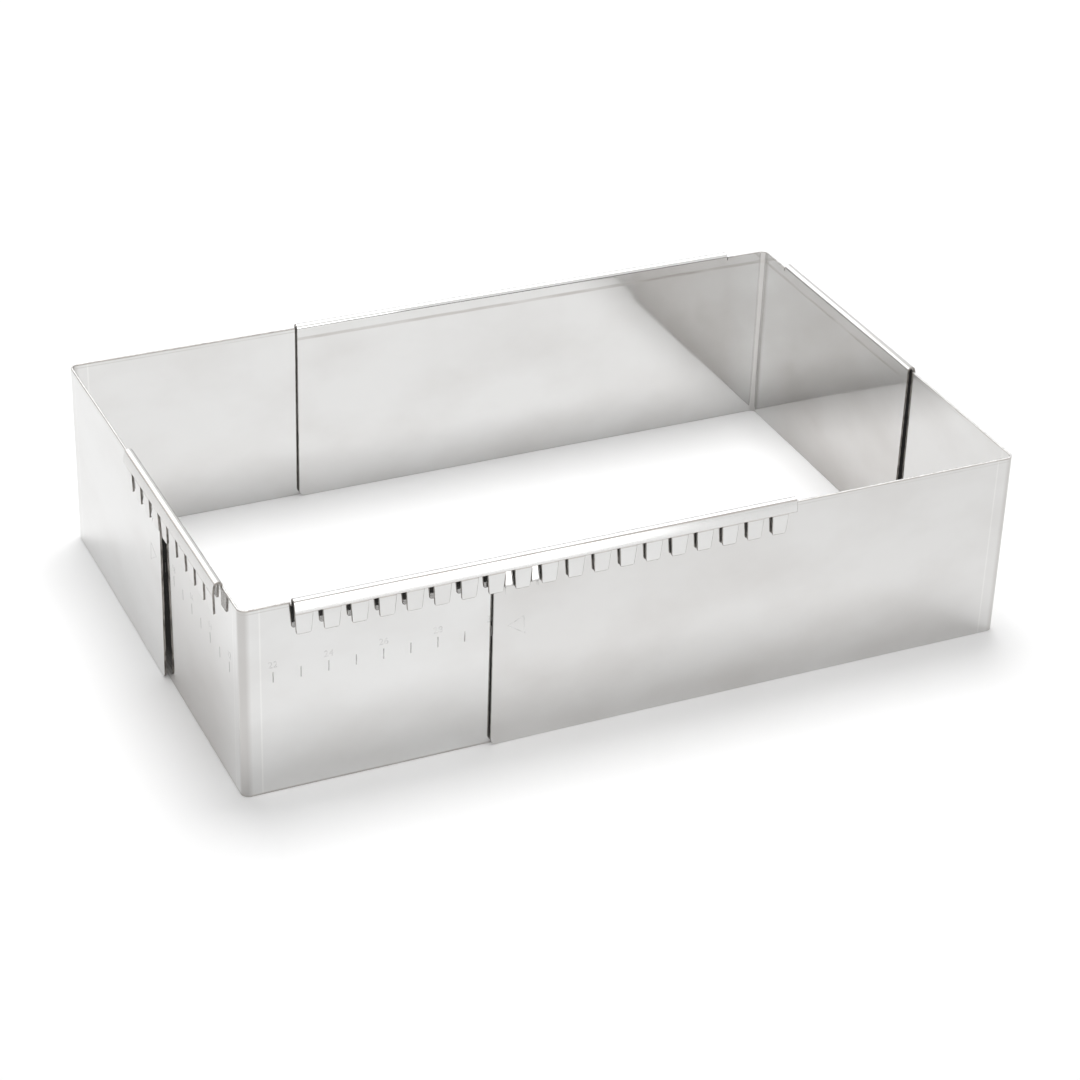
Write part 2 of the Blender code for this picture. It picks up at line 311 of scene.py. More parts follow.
# %% Profile of a rail
CHANNEL_DEPTH = 0.0022
BAND_HEIGHT = 0.0034
BAND_TILT = math.radians(16)
TAB_HEIGHT = 0.008
TAB_TOP = WALL_HEIGHT - BAND_HEIGHT
TAB_BOTTOM = TAB_TOP - TAB_HEIGHT
TAB_CORNER_RADIUS = 0.0008
RELIEF_DEPTH = 0.0012
CREASE_STEP = 0.0003
WALL_STEPS, RELIEF_STEPS, FOLD_STEPS, BAND_STEPS, LIP_STEPS = 22, 2, 20, 6, 4


def railed_profile():
    """Rows of the profile: outward distance, height, developed length, and the rows of wall and fold.

    The tight arc's radius is (depth - band height * tan(tilt / 2)) / 2, so that the gentle arc of
    radius band height / sin(tilt) + tight radius ends upright at the channel's full depth.
    """
    wall = ruled(0.0, FREE_CORNER_STEPS, FREE_CORNER_RADIUS, WALL_STEPS, WALL_HEIGHT - RELIEF_DEPTH,
                 RELIEF_STEPS, WALL_HEIGHT)
    turn = np.linspace(0.0, math.pi - BAND_TILT, FOLD_STEPS + 1)[1:]
    tight = (CHANNEL_DEPTH - BAND_HEIGHT * math.tan(BAND_TILT / 2)) / 2
    gentle = BAND_HEIGHT / math.sin(BAND_TILT) + tight
    tilt = ruled(BAND_TILT, BAND_STEPS, math.asin(CREASE_STEP / gentle), 1, 0.0)[1:]
    lip = ruled(TAB_TOP, 1, TAB_TOP - CREASE_STEP, LIP_STEPS, TAB_BOTTOM + TAB_CORNER_RADIUS,
                TAB_CORNER_STEPS, TAB_BOTTOM)[1:]
    out = np.concatenate([wall * 0, tight * (1 - np.cos(turn)),
                          CHANNEL_DEPTH - gentle * (1 - np.cos(tilt)), lip * 0 + CHANNEL_DEPTH])
    height = np.concatenate([wall, WALL_HEIGHT + tight * np.sin(turn),
                             TAB_TOP + gentle * np.sin(tilt), lip])
    steps = np.hypot(np.diff(out), np.diff(height))
    return out, height, np.append(0.0, np.cumsum(steps)), len(wall), len(wall) + len(turn) + len(tilt)


_, _, up_the_rail, _, rows_before_lip = railed_profile()
print("a railed sheet unrolls to a height of", in_mm(up_the_rail[-1]), "mm")

# %% [markdown]
# Tabs
#
# The tabs narrow towards rounded tips. Their columns were laid out at full width, so a tab point is
# moved back to its tab's middle and out again by its share of the narrower width. The corners of the tip
# go through the same map as the corners of the wall.

# %% Shape of the tabs
TAB_FLARE = 0.0006


def shape_tabs(columns, on_tab, station, z, below, wall_rows, lip_rows):
    """Stations and heights with narrowed, rounded tabs.

    A tab point's station is the tab's middle plus its share of the half width, which narrows in
    proportion to the depth below the band.
    """
    half = TAB_WIDTH / 2 - TAB_FLARE * below[:, None]
    middle = columns["station"] - columns["share"] * TAB_WIDTH / 2
    reach = np.abs(columns["share"]) * half
    inner = half - TAB_CORNER_RADIUS
    flat = TAB_CORNER_SHARE * half
    scaled = (np.abs(columns["share"]) - TAB_CORNER_SHARE) / (1 - TAB_CORNER_SHARE)
    drop = (TAB_BOTTOM + TAB_CORNER_RADIUS - z) / TAB_CORNER_RADIUS
    drop[:wall_rows] = -1.0
    across, down = round_corner(np.broadcast_to(scaled, z.shape), drop)
    reach = np.where(scaled > 0, inner + TAB_CORNER_RADIUS * across, reach * inner / flat)
    moved = middle + np.sign(columns["share"]) * reach
    tab_row = np.arange(len(z)) >= lip_rows
    in_tab = tab_row[:, None] & on_tab[None, :]
    return (np.where(in_tab, moved, station),
            np.where(in_tab & (drop > 0), TAB_BOTTOM + TAB_CORNER_RADIUS * (1 - down), z))


print("a tab is", in_mm(TAB_WIDTH), "mm wide, and", in_mm(TAB_WIDTH - 2 * TAB_FLARE), "mm at its tip")

# %% [markdown]
# The railed sheet
#
# The profile's rows cross the columns, and a mask leaves out the cells that were punched away: above the
# wall round the bend, in the relief slit and in the slots. The tabs lean in by almost half a millimetre.
# Real tabs are never all bent alike, so a random number lets each one out or in a little, by about a
# fifth of a millimetre at most. A second grid of numbers gives each cell its finish.

# %% Railed sheet
TAB_LEAN = 0.00045
TAB_TILT_LOW, TAB_TILT_HIGH = -0.00005, 0.00022
TAB_SEEDS = {"front_left": 7, "back_right": 11}
CREASE_DEPTH = 0.00005
RAILED_SPLAY = -0.0002
# The second finish is sheared steel on cut edges, and also painted shade at the foot of each bump.
SHEET, SHEARED_AND_FOOT_SHADE, BESIDE_TUMBLED, TUMBLED_RIM = range(4)


def kept_cells(columns, rows, wall_rows, lip_rows):
    """Cells that are steel: the whole wall but the slit at its top, tabs and slots round the fold, and
    the tabs alone on the lip.
    """
    keep = np.ones((rows - 1, len(columns["kind"])), bool)
    row = np.arange(rows - 1)
    keep[row >= wall_rows - 1] = np.isin(columns["kind"], (TAB, SLOT))
    keep[(row >= wall_rows - 1 - RELIEF_STEPS) & (row < wall_rows - 1)] = columns["kind"] != SLIT
    keep[row >= lip_rows - 1] = columns["kind"] == TAB
    return keep


def railed_surface(columns, phase, rng):
    """Points of a railed sheet's outer face, its unrolled coordinates, its cells and their finish.

    The outward distance is the profile's, less the lean, plus the wave and the splay. The lean grows
    evenly from the band to the tip, where each tab's own tilt has been taken off it.
    """
    out, height, length, wall_rows, lip_rows = railed_profile()
    below = np.clip((TAB_TOP - height) / TAB_HEIGHT, 0.0, 1.0)
    below[:wall_rows] = 0.0
    on_tab = (columns["tab"] >= 0) & (np.abs(columns["share"]) <= 1)
    station, z = np.meshgrid(columns["station"], height)
    station, z = shape_tabs(columns, on_tab, station, z, below, wall_rows, lip_rows)
    station, z = round_free_corners(columns, station, z, wall_rows)
    distance = distance_from_bend(columns, station)

    tilt = rng.uniform(TAB_TILT_LOW, TAB_TILT_HIGH, int(columns["tab"].max()) + 1)
    lean = (TAB_LEAN - tilt[np.maximum(columns["tab"], 0).astype(int)]) * below[:, None]
    outward = out[:, None] - np.where(on_tab, lean, 0.0)
    outward[lip_rows - 1] -= np.where(on_tab, CREASE_DEPTH, 0.0)
    up_the_wall = np.minimum(z, WALL_HEIGHT)
    ends = (distance[0, 0], distance[0, -1])
    outward = (outward + wave(distance, up_the_wall, phase)
               + splay(distance, up_the_wall, ends, RAILED_SPLAY))

    keep = kept_cells(columns, len(height), wall_rows, lip_rows)
    finish = np.zeros(keep.shape, np.int32)
    finish[wall_rows - 2] = np.where(columns["kind"] == WALL, BESIDE_TUMBLED, SHEET)
    unrolled = np.dstack([distance, np.broadcast_to(length[:, None], z.shape)])
    return sheet_points(distance, outward, z), unrolled, keep, finish


first_railed = railed_surface(railed_columns, WAVE_PHASES["front_left"],
                              np.random.default_rng(TAB_SEEDS["front_left"]))
print("railed grid:", first_railed[0].shape[:2], "with", int(first_railed[2].sum()), "cells")

# %% [markdown]
# Pressed bumps
#
# Near each free end of a plain angle two bumps are pressed out of the sheet, 10 mm apart, to click into
# the slots. A bump is a ramp: it starts almost flush under the rail, rises and widens evenly downward
# and ends at a short steep foot, which is what catches on the tabs. The ramp is tilted enough to mirror
# what stands in front instead of the floor, and so shines white in the slot. A bump map could not do
# that, because the bump has to stand out of the slot when it is seen from the side.

# %% Bump
BUMP_WIDTH = 0.0039
BUMP_HEIGHT = 0.006
BUMP_RISE = 0.00115
BUMP_FOOT = TAB_TOP - BUMP_HEIGHT
BUMP_FALL = 0.001
BUMP_TOP_WIDTH_SHARE = 0.62
BUMP_START_SHARE = 0.08
BUMP_SQUARENESS = 6


def bump(across, above):
    """Rise of a bump: (1 - share * above) * (1 - (across / width)^6), falling to nought below its foot.

    Across is the distance from its middle line over its half width, above the height over its foot in
    shares of its height. The width shrinks evenly upward. The foot falls as a quarter of a sine.
    """
    up = np.clip(above, 0.0, 1.0)
    width = 1 - (1 - BUMP_TOP_WIDTH_SHARE) * up
    ramp = 1 - (1 - BUMP_START_SHARE) * up
    body = np.clip(1 - (across / width) ** BUMP_SQUARENESS, 0.0, 1.0)
    foot = np.sin(np.clip(1 + above * BUMP_HEIGHT / BUMP_FALL, 0.0, 1.0) * math.pi / 2)
    return BUMP_RISE * ramp * body * foot * (above <= 1.0)


print("a bump rises by", in_mm(bump(0.0, 0.0)), "mm at its foot and", in_mm(bump(0.0, 1.0)), "at its top")

# %% [markdown]
# The plain sheet
#
# A plain angle is the same plan without a fold, so its surface needs only the wall, the wave, the splay
# and the bumps. The sheet is thickened later, and the hollow behind each bump then comes by itself.

# %% Plain sheet
PLAIN_LONG_LEG = 0.2085
PLAIN_SHORT_LEG = 0.1110
BUMPS = 2
BUMP_INSET = 0.0053
PLAIN_SPLAY = 0.00045
TOP_EDGE_ROW = 0.0008
PLAIN_LEG_STEPS, BUMP_COLUMNS, BETWEEN_BUMPS = 30, 16, 6
PLAIN_WALL_STEPS, BUMP_FALL_STEPS, BUMP_ROWS, TOP_STEPS = 22, 6, 12, 4


def plain_leg(end):
    """Columns of a plain leg from the bend to its free end, crowded across the two bumps."""
    inner = end - BUMP_INSET - TAB_PITCH
    outer = end - BUMP_INSET
    station = ruled(BEND_RADIUS, PLAIN_LEG_STEPS, inner - BUMP_WIDTH / 2, BUMP_COLUMNS,
                    inner + BUMP_WIDTH / 2, BETWEEN_BUMPS, outer - BUMP_WIDTH / 2, BUMP_COLUMNS,
                    outer + BUMP_WIDTH / 2, 1, end - FREE_CORNER_RADIUS, FREE_CORNER_STEPS, end)
    return {"station": station, "share": station * 0, "tab": station * 0 - 1,
            "kind": np.full(len(station) - 1, WALL)}


def plain_surface(columns, phase):
    """Points of the outer face of a plain sheet: the wall, its wave, the splay and the four bumps.

    Cells in the lower half of a bump's foot take the dark sheared steel, as painted shade under the
    foot, where the rise is over a tenth of the full one.
    """
    rows = ruled(0.0, FREE_CORNER_STEPS, FREE_CORNER_RADIUS, PLAIN_WALL_STEPS, BUMP_FOOT - BUMP_FALL,
                 BUMP_FALL_STEPS, BUMP_FOOT, BUMP_ROWS, BUMP_FOOT + BUMP_HEIGHT, TOP_STEPS,
                 WALL_HEIGHT - TOP_EDGE_ROW, 1, WALL_HEIGHT)
    station, z = np.meshgrid(columns["station"], rows)
    ends = np.where(columns["side"] < 0, station[0, 0], station[0, -1])
    rise = np.zeros(station.shape)
    for step in range(BUMPS):
        middle = ends - BUMP_INSET - step * TAB_PITCH
        rise += bump((station - middle) / (BUMP_WIDTH / 2), (z - BUMP_FOOT) / BUMP_HEIGHT)
    station, z = round_free_corners(columns, station, z, len(rows))
    distance = distance_from_bend(columns, station)
    free = (distance[-1, 0], distance[-1, -1])
    outward = rise + wave(distance, z, phase) + splay(distance, z, free, PLAIN_SPLAY)

    keep = np.ones((len(rows) - 1, len(columns["kind"])), bool)
    # Painted shade: the lower half of each bump's foot takes the dark sheared steel.
    in_foot = (rows > BUMP_FOOT - BUMP_FALL) & (rows < BUMP_FOOT - BUMP_FALL / 2)
    dark = in_foot[1:, None] & (rise[1:, 1:] > BUMP_RISE / 10)
    finish = np.where(dark, SHEARED_AND_FOOT_SHADE, SHEET).astype(np.int32)
    finish[-1] = BESIDE_TUMBLED
    return sheet_points(distance, outward, z), np.dstack([distance, z]), keep, finish


plain_columns = lay_end_to_end(plain_leg(PLAIN_LONG_LEG), plain_leg(PLAIN_SHORT_LEG))
print("plain sheet:", len(plain_columns["station"]), "columns")

# %% [markdown]
# From arrays to a mesh
#
# The grid's cells become quads by index arithmetic: a cell joins its own corner, the next one along, and
# the two above them. On an angle that isn't mirrored, such a quad looks inward, so there the quads are
# turned round, and the outer face looks outward on all four. The unrolled coordinates go into the UV map
# in metres, so that the grain of the steel follows the sheet round its bend and over the fold. A cell's
# finish is the number of its material. Cells beside a tumbled edge carry the third material, which is
# the first one again, so that what follows it in the list goes on the edge next to them.

# %% Mesh from a grid
def mesh_from_grid(name, points, unrolled, keep, finish, turn_round):
    """Quads (i, j), (i, j+1), (i+1, j+1), (i+1, j) for every kept cell, with unused points left out."""
    rows, columns = points.shape[:2]
    index = np.arange(rows * columns).reshape(rows, columns)
    quads = np.stack([index[:-1, :-1], index[:-1, 1:], index[1:, 1:], index[1:, :-1]], axis=-1)[keep]
    if turn_round:
        quads = quads[:, ::-1]
    used, packed = np.unique(quads, return_inverse=True)
    quads = packed.reshape(quads.shape)
    mesh = bpy.data.meshes.new(name)
    mesh.from_pydata(points.reshape(-1, 3)[used].tolist(), [], quads.tolist())
    layer = mesh.uv_layers.new(name="unrolled")
    layer.data.foreach_set("uv", unrolled.reshape(-1, 2)[used][quads].astype(np.float32).ravel())
    mesh.polygons.foreach_set("material_index", finish[keep])
    mesh.shade_smooth()
    mesh.validate()
    return mesh


beside_tumbled = first_railed[3][first_railed[2]] == BESIDE_TUMBLED
print("cells of a railed sheet beside its tumbled edge:", int(beside_tumbled.sum()))

# %% [markdown]
# Node helpers
#
# A material is a small network of nodes. Four short helpers keep it readable: one makes a material, one
# a stretched noise, one carries a value from one range to another, and one does sums. The noises take
# the place of pictures of steel, because they stay sharp from any distance and need no file.

# %% Helpers for materials
def new_material(name):
    """A material with its shader, ready for textures."""
    material = bpy.data.materials.new(name)
    material.use_nodes = True
    return material, material.node_tree.nodes, material.node_tree.links


def noise(nodes, links, source, scale, stretch, detail):
    """A noise texture over the given coordinates, stretched by a mapping node."""
    mapping = nodes.new("ShaderNodeMapping")
    mapping.inputs["Scale"].default_value = stretch
    links.new(source, mapping.inputs["Vector"])
    texture = nodes.new("ShaderNodeTexNoise")
    texture.inputs["Scale"].default_value = scale
    texture.inputs["Detail"].default_value = detail
    links.new(mapping.outputs["Vector"], texture.inputs["Vector"])
    return texture.outputs["Fac"]


def mapped(nodes, links, source, limits, results):
    """A value carried from one range to another and held at its ends."""
    node = nodes.new("ShaderNodeMapRange")
    for name, value in zip(("From Min", "From Max", "To Min", "To Max"), limits + results):
        node.inputs[name].default_value = value
    links.new(source, node.inputs["Value"])
    return node.outputs["Result"]


def calculated(nodes, links, operation, *sources):
    """A math node fed with sockets or plain numbers."""
    node = nodes.new("ShaderNodeMath")
    node.operation = operation
    for socket, source in zip(node.inputs, sources):
        if isinstance(source, float):
            socket.default_value = source
        else:
            links.new(source, socket)
    return node.outputs["Value"]


print("helpers:", ", ".join(helper.__name__ for helper in (new_material, noise, mapped, calculated)))

# %% [markdown]
# Smeared lines and lines of painted shade
#
# Thin dull lines run along the sheet. On the inner side, which a rail turns outward, a smeared line lies
# under the fold. The darker line along the fold's round is a painted reflection, and the lines at the top
# of the tabs and round their tips are painted shade, in the crease and under the tips. On the outer side,
# and on both sides of a plain sheet, dark lines lie at the top edge and just below it, and a railed sheet
# has a painted contact shadow along its foot. Each line is a height on the unrolled sheet, a half width
# and a strength, and a stretched noise breaks it up.

# %% Lines on the sheet
BREAK_STRETCH = (60.0, 500.0, 1.0)
BREAK_DETAIL = 3.0
BREAK_LIMITS, BREAK_STRENGTHS = (0.35, 0.6), (0.6, 1.0)
FOLD_END = float(up_the_rail[rows_before_lip - 1])
TIP = float(up_the_rail[-1])
ON_THE_ROUND = 0.07710
# Under the fold a smeared line, along the fold's round a painted reflection, and at the top of the tabs
# and round their tips painted shade.
INSIDE_LINES = ((0.0708, 0.0009, 0.75), (ON_THE_ROUND, 0.00029, 1.0), (FOLD_END, 0.0004, 1.0),
                (TIP, 0.0004, 0.8))
OUTSIDE_LINES = ((WALL_HEIGHT, 0.0008, 1.0), (WALL_HEIGHT - 0.0015, 0.0003, 0.5))
# Painted shadow: a dark line along the foot of a railed sheet's outer side, where it meets the floor.
FOOT_CONTACT_SHADOW = ((0.0, 0.0008, 1.0),)


def smear_and_shade_lines(nodes, links, height, unrolled, lines):
    """The strongest of several broken lines: each has a height, a half width and a strength."""
    broken = noise(nodes, links, unrolled, 1.0, BREAK_STRETCH, BREAK_DETAIL)
    strongest = None
    for middle, half_width, strength in lines:
        off = calculated(nodes, links, 'ABSOLUTE',
                         calculated(nodes, links, 'SUBTRACT', height, middle))
        line = mapped(nodes, links, off, (half_width / 2, half_width), (strength, 0.0))
        strongest = line if strongest is None else calculated(nodes, links, 'MAXIMUM', strongest, line)
    return calculated(nodes, links, 'MULTIPLY', strongest,
                      mapped(nodes, links, broken, BREAK_LIMITS, BREAK_STRENGTHS))


print("the smeared lines inside a railed sheet, mm:", [in_mm(line[0], 1) for line in INSIDE_LINES])

# %% [markdown]
# Tones of the steel
#
# Round the bend the steel is coloured greyer, a painted reflection of the bend, and a few millimetres
# beside it a thin light line is a painted highlight. Only the inner side of a railed sheet is without
# the line. Handling leaves faint clouds where the reflection is duller, and the short legs of the railed
# sheets are handled most, above all near their foot. A mix of two tones could be painted by hand. Here
# it follows the distance from the bend and the height, so it is right wherever the sheet is seen from.

# %% Tint and dullness
STEEL = (0.71, 0.71, 0.705, 1.0)
# Painted reflection: the bend is coloured greyer. Painted highlight: the light line beside it.
BEND_PAINTED_REFLECTION = (0.55, 0.54, 0.53, 1.0)
BEND_PAINTED_HIGHLIGHT = (0.80, 0.80, 0.79, 1.0)
# The darker tone of smudges and handling, also used for the painted lines of shade and reflection.
SMUDGE_AND_SHADE_TONE = (0.46, 0.435, 0.415, 1.0)
BEND_RAMP_REACH = 0.01
BENT_TO, STEEL_FROM = 0.12, 0.30
BEFORE_LINE, ON_LINE, AFTER_LINE = 0.60, 0.64, 0.68
CLOUD_LIMITS, CLOUD_DULLNESS = (0.42, 0.75), 0.22
SHORT_LEG_RAMP = (0.004, 0.03)
FOOT_RAMP, FOOT_FACTORS = (0.0, 0.06), (1.7, 0.8)


def bend_painted_light(nodes, links, along, beside):
    """Colour by the distance from the middle of the bend, as a share of the ramp's reach: a greyer bend
    as painted reflection, then a line beside it in the given colour, as painted highlight.
    """
    off_bend = calculated(nodes, links, 'ABSOLUTE', along)
    tint = nodes.new("ShaderNodeValToRGB")
    links.new(mapped(nodes, links, off_bend, (0.0, BEND_RAMP_REACH), (0.0, 1.0)), tint.inputs["Fac"])
    tint.color_ramp.elements[1].position = 1.0
    tint.color_ramp.elements[1].color = STEEL
    tint.color_ramp.elements[0].color = BEND_PAINTED_REFLECTION
    for place, colour in ((BENT_TO, BEND_PAINTED_REFLECTION), (STEEL_FROM, STEEL), (BEFORE_LINE, STEEL),
                          (ON_LINE, beside), (AFTER_LINE, STEEL)):
        tint.color_ramp.elements.new(place).color = colour
    return tint.outputs["Color"]


def smudge_and_shade_share(nodes, links, along, height, smudge, line, dullness, handled):
    """Share of the darker tone: clouds plus handling, or the lines of smear and painted shade where that
    is more, up to one.

    Handling is a ramp along the short leg times a factor that falls with the height.
    """
    clouds = mapped(nodes, links, smudge, CLOUD_LIMITS, (dullness, dullness + CLOUD_DULLNESS))
    short_leg = mapped(nodes, links, along, SHORT_LEG_RAMP, (0.0, handled))
    near_foot = mapped(nodes, links, height, FOOT_RAMP, FOOT_FACTORS)
    handling = calculated(nodes, links, 'MULTIPLY', short_leg, near_foot)
    dull = calculated(nodes, links, 'ADD', clouds, handling)
    return calculated(nodes, links, 'MINIMUM', calculated(nodes, links, 'MAXIMUM', dull, line), 1.0)


print("the light line lies", in_mm(ON_LINE * BEND_RAMP_REACH), "mm from the middle of the bend")

# %% [markdown]
# The finish of the sheet
#
# Kitchen frames are cut from bright rolled stainless. It is nearly a mirror, softened by a fine grain
# that runs along the sheet, by the smudges and by the smeared lines. Painted shade, painted reflection
# and a painted highlight mark the bend, the fold, the tabs and the foot. The fold is rougher than the
# flat sheet. All of it is drawn on the unrolled coordinates. A renderer stops a ray after a few mirror
# bounces, which would leave the channels black, so a very faint glow stands in for the lost light.

# %% Bright sheet
GRAIN_STRETCH, GRAIN_DETAIL = (60.0, 9000.0, 1.0), 2.0
GRAIN_STRENGTH, GRAIN_DEPTH = 0.02, 0.00002
SMUDGE_SCALE, SMUDGE_STRETCH, SMUDGE_DETAIL = 22.0, (1.0, 1.6, 1.0), 4.0
SMUDGE_LIMITS, SMUDGE_ROUGHNESS = (0.35, 0.75), (0.04, 0.09)
LINE_ROUGHNESS = 0.15
ROUGH_FROM, ROUGH_TO = FOLD_END - 0.0040, FOLD_END - 0.0034
FOLD_FADE, LIP_SHARE = 0.0004, 0.25
LOST_LIGHT = 0.006
LOST_LIGHT_COLOUR = (1.0, 0.98, 0.96, 1.0)


def sheet_roughness(nodes, links, height, smudge, line, fold):
    """Roughness of the smudges, plus the fold's, which fades on the lip, plus a share of the line."""
    up_fold = mapped(nodes, links, height, (ROUGH_FROM, ROUGH_TO), (0.0, fold))
    past_fold = mapped(nodes, links, height, (FOLD_END - FOLD_FADE, FOLD_END + FOLD_FADE),
                       (1.0, LIP_SHARE))
    rough = calculated(nodes, links, 'ADD',
                       mapped(nodes, links, smudge, SMUDGE_LIMITS, SMUDGE_ROUGHNESS),
                       calculated(nodes, links, 'MULTIPLY', up_fold, past_fold))
    return calculated(nodes, links, 'ADD', rough,
                      calculated(nodes, links, 'MULTIPLY', line, LINE_ROUGHNESS))


def bright_sheet(name, lines, dullness, handled=0.0, fold=0.0):
    """Polished rolled stainless: grain, smudges, the bend's painted reflection and highlight, smeared
    lines, painted lines of shade and a rougher fold.

    Dullness is even, handled is the extra dullness of the short leg, which grows towards the foot, and
    fold is the extra roughness of the folded band.
    """
    material, nodes, links = new_material(name)
    shader = nodes["Principled BSDF"]
    shader.inputs["Metallic"].default_value = 1.0
    shader.inputs["Emission Color"].default_value = LOST_LIGHT_COLOUR
    shader.inputs["Emission Strength"].default_value = LOST_LIGHT
    unrolled = nodes.new("ShaderNodeUVMap")
    unrolled.uv_map = "unrolled"
    parts = nodes.new("ShaderNodeSeparateXYZ")
    links.new(unrolled.outputs["UV"], parts.inputs["Vector"])
    along, height = parts.outputs["X"], parts.outputs["Y"]
    grain = noise(nodes, links, unrolled.outputs["UV"], 1.0, GRAIN_STRETCH, GRAIN_DETAIL)
    smudge = noise(nodes, links, unrolled.outputs["UV"], SMUDGE_SCALE, SMUDGE_STRETCH, SMUDGE_DETAIL)
    line = smear_and_shade_lines(nodes, links, height, unrolled.outputs["UV"], lines)

    blend = nodes.new("ShaderNodeMix")
    blend.data_type = 'RGBA'
    links.new(smudge_and_shade_share(nodes, links, along, height, smudge, line, dullness, handled),
              blend.inputs["Factor"])
    # The bend gets its painted reflection, with a painted highlight line beside it except inside a rail.
    links.new(bend_painted_light(nodes, links, along, STEEL if fold else BEND_PAINTED_HIGHLIGHT), blend.inputs["A"])
    blend.inputs["B"].default_value = SMUDGE_AND_SHADE_TONE
    links.new(blend.outputs["Result"], shader.inputs["Base Color"])
    links.new(sheet_roughness(nodes, links, height, smudge, line, fold), shader.inputs["Roughness"])
    bump_node = nodes.new("ShaderNodeBump")
    bump_node.inputs["Strength"].default_value = GRAIN_STRENGTH
    bump_node.inputs["Distance"].default_value = GRAIN_DEPTH
    links.new(grain, bump_node.inputs["Height"])
    links.new(bump_node.outputs["Normal"], shader.inputs["Normal"])
    return material


print("the fold is rough from", in_mm(ROUGH_FROM), "mm up the unrolled sheet")

# %% [markdown]
# One finish for each sheet
#
# Each sheet is a little duller or brighter than the next. The two sides of a railed sheet differ, while
# a plain sheet is alike on both. The last value of a set is the material of its rounded edges. It is
# sheared steel, which draws the outline of each tab, except on the front right sheet, whose rounded
# edges are as bright as the sheet.

# %% Finishes of the four sheets
DULLNESS = {"front_left": 0.04, "back_right": 0.08, "front_right": 0.2, "back_left": 0.06}
HANDLED = 0.3
FOLD_ROUGHNESS = 0.17
AS_THE_SHEET = -1


def railed_steels(body):
    """The outside, the inside and the rounded edges of a railed sheet."""
    outside = bright_sheet(body + "_outside", OUTSIDE_LINES + FOOT_CONTACT_SHADOW, DULLNESS[body], HANDLED)
    inside = bright_sheet(body + "_inside", INSIDE_LINES, DULLNESS[body], HANDLED, FOLD_ROUGHNESS)
    return outside, inside, SHEARED_AND_FOOT_SHADE


def plain_steels(body, rounding):
    """One steel for both sides of a plain sheet, and its rounded edges."""
    steel = bright_sheet(body + "_steel", OUTSIDE_LINES, DULLNESS[body])
    return steel, steel, rounding


steels = {
    "front_left": railed_steels("front_left"),
    "back_right": railed_steels("back_right"),
    "front_right": plain_steels("front_right", AS_THE_SHEET),
    "back_left": plain_steels("back_left", SHEARED_AND_FOOT_SHADE),
}
print("sheets with a finish of their own:", ", ".join(steels))

# %% [markdown]
# Edges
#
# The sheared sides of tabs and free ends are rough, dark and slightly brown, in spots. The top edges
# were tumbled bright, because hands touch them. Both are one kind of steel with two tones, and a noise
# chooses between them from speck to speck.

# %% Edge steel
SHEARED_AND_SHADE_DARK = (0.14, 0.13, 0.12, 1.0)
SHEARED_AND_SHADE_LIGHT = (0.36, 0.34, 0.32, 1.0)
SHEARED_ROUGHNESS = (0.28, 0.5)
TUMBLED = (0.80, 0.80, 0.79, 1.0)
TUMBLED_DULL = (0.66, 0.655, 0.65, 1.0)
TUMBLED_ROUGHNESS = (0.16, 0.3)
SPECKLE_SCALE, SPECKLE_STRETCH, SPECKLE_DETAIL = 900.0, (1.0, 1.0, 0.35), 3.0
SPECKLE_STOPS = (0.35, 0.65)
SPECKLE_LIMITS = (0.3, 0.7)


def edge_finish(name, dark, light, rough):
    """Steel whose colour and roughness change from one speck to the next."""
    material, nodes, links = new_material(name)
    shader = nodes["Principled BSDF"]
    shader.inputs["Metallic"].default_value = 1.0
    place = nodes.new("ShaderNodeTexCoord")
    speckle = noise(nodes, links, place.outputs["Object"], SPECKLE_SCALE, SPECKLE_STRETCH,
                    SPECKLE_DETAIL)
    ramp = nodes.new("ShaderNodeValToRGB")
    for element, stop, colour in zip(ramp.color_ramp.elements, SPECKLE_STOPS, (dark, light)):
        element.position = stop
        element.color = colour
    links.new(speckle, ramp.inputs["Fac"])
    links.new(ramp.outputs["Color"], shader.inputs["Base Color"])
    links.new(mapped(nodes, links, speckle, SPECKLE_LIMITS, rough), shader.inputs["Roughness"])
    return material


# The sheared steel also paints shade on the lower half of each bump's foot.
sheared_edge_and_foot_shade = edge_finish("sheared_edge_and_foot_shade", SHEARED_AND_SHADE_DARK, SHEARED_AND_SHADE_LIGHT, SHEARED_ROUGHNESS)
tumbled_edge = edge_finish("tumbled_edge", TUMBLED_DULL, TUMBLED, TUMBLED_ROUGHNESS)
print("edges:", sheared_edge_and_foot_shade.name, tumbled_edge.name)

# %% [markdown]
# Four places
#
# The frame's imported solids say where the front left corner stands. The back pair is the front pair
# turned half round, and the plain angles are mirror images, so a place is a corner, a mirror sign and a
# turn sign.

# %% Places of the sheets
FACE_OFFSET = 0.0014
LIP_REACH = CHANNEL_DEPTH + SHEET_THICKNESS

front_left_low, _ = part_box("front_left_railed_angle")
_, back_right_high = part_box("back_right_railed_angle")
railed_corner = Vector((front_left_low.x + LIP_REACH, front_left_low.y + LIP_REACH, 0.0))
plain_corner = Vector((-railed_corner.x + FACE_OFFSET, railed_corner.y - FACE_OFFSET, 0.0))
places = {
    "front_left": (railed_corner, 1, 1),
    "back_right": (-railed_corner, 1, -1),
    "front_right": (plain_corner, -1, 1),
    "back_left": (-plain_corner, -1, -1),
}


def put_in_place(points, corner, mirror, turn):
    """x * mirror, then both plan coordinates * turn, then the corner added."""
    placed = points.copy()
    placed[..., 0] = corner.x + points[..., 0] * mirror * turn
    placed[..., 1] = corner.y + points[..., 1] * turn
    return placed


print("railed corner, mm:", [in_mm(c) for c in railed_corner])
print("far corner of the packed solids, mm:", [in_mm(c) for c in back_right_high])

